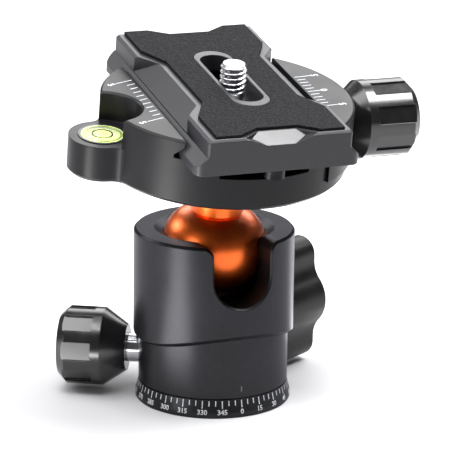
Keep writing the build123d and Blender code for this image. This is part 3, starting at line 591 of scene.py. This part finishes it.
def cameraStud():
    shape = bmesh.new()
    ch = stud["headChamfer"]
    profile = [
        (stud["headRadius"] - ch, stud["headBottom"]), (stud["headRadius"], stud["headBottom"] + ch),
        (stud["headRadius"], stud["headTop"] - ch), (stud["headRadius"] - ch, stud["headTop"]),
        (stud["shankRadius"], stud["headTop"]), (stud["shankRadius"], stud["threadStart"]),
    ]
    threadLength = stud["top"] - stud["threadStart"]
    count = round(threadLength / stud["pitch"] * stud["rowsPerPitch"])
    heights = [stud["threadStart"] + threadLength * (i + 1) / count for i in range(count)]
    place = onClamp(stud["across"], stud["along"])
    rings = []
    for radius, height in profile + [(None, h) for h in heights]:
        ring = []
        for i in range(stud["around"]):
            angle = 2 * math.pi * i / stud["around"]
            r = threadRadius(height, angle) if radius is None else radius
            at = Vector((r * math.cos(angle), r * math.sin(angle), height)) * mm
            ring.append(shape.verts.new(place @ at))
        rings.append(ring)
    for lower, upper in zip(rings, rings[1:]):
        for i in range(stud["around"]):
            j = (i + 1) % stud["around"]
            shape.faces.new((lower[i], lower[j], upper[j], upper[i]))
    shape.faces.new(rings[0])
    shape.faces.new(rings[-1])
    return shape


def cutCoinSlot(piece):
    cutterShape = bmesh.new()
    bmesh.ops.create_cube(cutterShape, size=1.0)
    size = Vector((stud["slotReach"] * stud["headRadius"], stud["slotWidth"], 2 * stud["slotDepth"])) * mm
    seat = onClamp(stud["across"], stud["along"], stud["headBottom"])
    cutterShape.transform(seat @ Matrix.Diagonal(size.to_4d()))
    cutterMesh = bpy.data.meshes.new("coinSlot")
    cutterShape.to_mesh(cutterMesh)
    cutterShape.free()
    cutter = bpy.data.objects.new("coinSlot", cutterMesh)
    bpy.context.scene.collection.objects.link(cutter)
    cut = piece.modifiers.new("coinSlot", "BOOLEAN")
    cut.object = cutter
    cut.operation = "DIFFERENCE"
    bpy.context.view_layer.update()
    evaluated = piece.evaluated_get(bpy.context.evaluated_depsgraph_get())
    slotted = bpy.data.meshes.new_from_object(evaluated)
    piece.modifiers.clear()
    piece.data = slotted
    bpy.data.objects.remove(cutter)


studPiece = finishPiece(cameraStud(), "cameraStud", "camera_screw", "nickelPlated")
cutCoinSlot(studPiece)
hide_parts("camera_screw")
print("camera stud threaded")

# Bull's-eye level: the window's rim as a painted highlight, its edge, and the ring that the bubble is set
# to.
level = {
    "across": -30.2, "along": 0.0, "windowTop": 9.1, "sunk": 0.01, "thickness": 0.05, "around": 64,
    "rings": {
        # name: inner and outer radius, finish
        "levelRing": (2.15, 2.6, "darkInk"),
        "levelEdge": (4.2, 4.75, "greenAcrylic"),
        # the rim's pale ring is a painted highlight
        "levelRim": (4.8, 5.0, "paintedRimHighlight"),
    },
}


def windowRing(inner, outer):
    shape = bmesh.new()
    low, high = level["windowTop"] - level["sunk"], level["windowTop"] + level["thickness"]
    place = onClamp(level["across"], level["along"])
    angles = [2 * math.pi * i / level["around"] for i in range(level["around"])]
    loops = []
    for radius, height in ((inner, low), (outer, low), (outer, high), (inner, high)):
        loops.append([
            shape.verts.new(place @ (Vector((radius * math.cos(t), radius * math.sin(t), height)) * mm))
            for t in angles
        ])
    for here, there in zip(loops, loops[1:] + loops[:1]):
        for i in range(level["around"]):
            j = (i + 1) % level["around"]
            shape.faces.new((here[i], here[j], there[j], there[i]))
    return shape


for name, (inner, outer, finishName) in level["rings"].items():
    finishPiece(windowRing(inner, outer), name, "clamp", finishName)
print("level marked")

# Studio: a paper floor, a pale world, softboxes round the head and two glowing panels on the floor.
studio = {
    "floorDarkHex": "#b8b8ba", "floorPaleHex": "#bcbcbe", "floorHalf": 6.0, "floorSquares": 8,
    "floorRoughness": 0.9, "fibreMm": 60.0, "worldHex": "#f4f5f7", "worldStrength": 0.1,
    "softboxes": {
        # name: azimuth from the camera, height angle, distance, width, height in metres, watts
        "leftSoftbox": (-50.0, 12.0, 0.9, 0.22, 0.6, 2.5),
        "leftSideSoftbox": (-118.0, 28.0, 0.9, 0.3, 0.3, 2.0),
        "topLeftSoftbox": (-75.0, 60.0, 0.9, 0.6, 0.6, 6.0),
        "rightSideSoftbox": (124.0, 34.0, 0.9, 0.25, 0.25, 1.2),
        "topRightSoftbox": (90.0, 63.0, 0.9, 0.38, 0.38, 14.0),
        "topSoftbox": (0.0, 88.0, 1.0, 1.0, 1.0, 5.5),
        "frontTopSoftbox": (0.0, 71.0, 0.9, 0.35, 0.35, 5.0),
        "backSoftbox": (176.0, 34.0, 0.9, 0.9, 0.4, 5.0),
    },
    "panels": {
        # name: azimuth from the camera, distance, width, length in metres, watts
        "leftPanel": (-47.0, 0.135, 0.045, 0.17, 0.26),
        "rightPanel": (140.0, 0.12, 0.02, 0.14, 0.03),
    },
    "panelLiftMm": 2.0,
}
camera = {
    "azimuth": -22.586, "elevation": 16.514, "distance": 0.7502, "roll": 0.688,
    "lens": 248.98, "sensor": 36.0, "shift": (0.0241, 0.0386), "nearest": 0.05, "farthest": 20.0,
}


def addFloor():
    shape = bmesh.new()
    squares = studio["floorSquares"]
    bmesh.ops.create_grid(shape, x_segments=squares, y_segments=squares, size=studio["floorHalf"])
    mesh = bpy.data.meshes.new("studioFloor")
    shape.to_mesh(mesh)
    shape.free()
    material, tree, where = startMaterial("paperSweep")  # matt paper, its tone hardly uneven
    fibre = addNode(
        tree, "ShaderNodeTexNoise",
        {"Vector": where, "Scale": perMetre(studio["fibreMm"]), "Detail": 2.0},
    )
    tone = addNode(
        tree, "ShaderNodeValToRGB", {"Fac": fibre.outputs[0]},
        stops=((noiseLow, studio["floorDarkHex"]), (noiseHigh, studio["floorPaleHex"])),
    )
    closeMaterial(tree, {"Base Color": tone.outputs["Color"], "Roughness": studio["floorRoughness"]})
    mesh.materials.append(material)
    floor = bpy.data.objects.new("studioFloor", mesh)
    bpy.context.scene.collection.objects.link(floor)


def addWorld():
    world = bpy.data.worlds.new("studioWorld")
    bpy.context.scene.world = world
    world.use_nodes = True
    world.node_tree.nodes.clear()
    sky = addNode(
        world.node_tree, "ShaderNodeBackground",
        {"Color": linear(studio["worldHex"]), "Strength": studio["worldStrength"]},
    )
    addNode(world.node_tree, "ShaderNodeOutputWorld", {"Surface": sky.outputs[0]})


def addLamp(name, width, height, watts, place):
    lamp = bpy.data.lights.new(name, "AREA")
    lamp.shape = "RECTANGLE"
    lamp.size = width
    lamp.size_y = height
    lamp.energy = watts
    holder = bpy.data.objects.new(name, lamp)
    holder.location = place
    bpy.context.scene.collection.objects.link(holder)
    return holder


def towards(azimuth, elevation):
    # azimuth 0 is the head's front, -Y, and 90 its right, +X
    a, e = math.radians(azimuth), math.radians(elevation)
    return Vector((math.sin(a) * math.cos(e), -math.cos(a) * math.cos(e), math.sin(e)))


addFloor()
addWorld()
aim = Vector((0, 0, headSeat["ballHeight"] * mm))
for name, (azimuth, elevation, distance, width, height, watts) in studio["softboxes"].items():
    out = towards(camera["azimuth"] + azimuth, elevation)
    softbox = addLamp(name, width, height, watts, aim + out * distance)
    softbox.rotation_mode = "QUATERNION"
    softbox.rotation_quaternion = (-out).to_track_quat("-Z", "Y")
for name, (azimuth, distance, width, length, watts) in studio["panels"].items():
    out = towards(camera["azimuth"] + azimuth, 0.0)
    lift = Vector((0, 0, studio["panelLiftMm"] * mm))
    panel = addLamp(name, width, length, watts, out * distance + lift)
    panel.rotation_euler = (math.pi, 0, math.atan2(-out.x, out.y))  # facing up, its length pointing outwards
print("studio lit")

view = bpy.data.cameras.new("camera")
view.lens = camera["lens"]
view.sensor_width = camera["sensor"]
view.shift_x, view.shift_y = camera["shift"]
view.clip_start = camera["nearest"]
view.clip_end = camera["farthest"]
cameraHolder = bpy.data.objects.new("camera", view)
out = towards(camera["azimuth"], camera["elevation"])
roll = Matrix.Rotation(math.radians(camera["roll"]), 3, "Z").to_quaternion()
cameraHolder.location = aim + out * camera["distance"]
cameraHolder.rotation_mode = "QUATERNION"
cameraHolder.rotation_quaternion = (-out).to_track_quat("-Z", "Y") @ roll
bpy.context.scene.collection.objects.link(cameraHolder)
bpy.context.scene.camera = cameraHolder
bpy.context.scene.view_settings.view_transform = "Standard"
print("camera set")
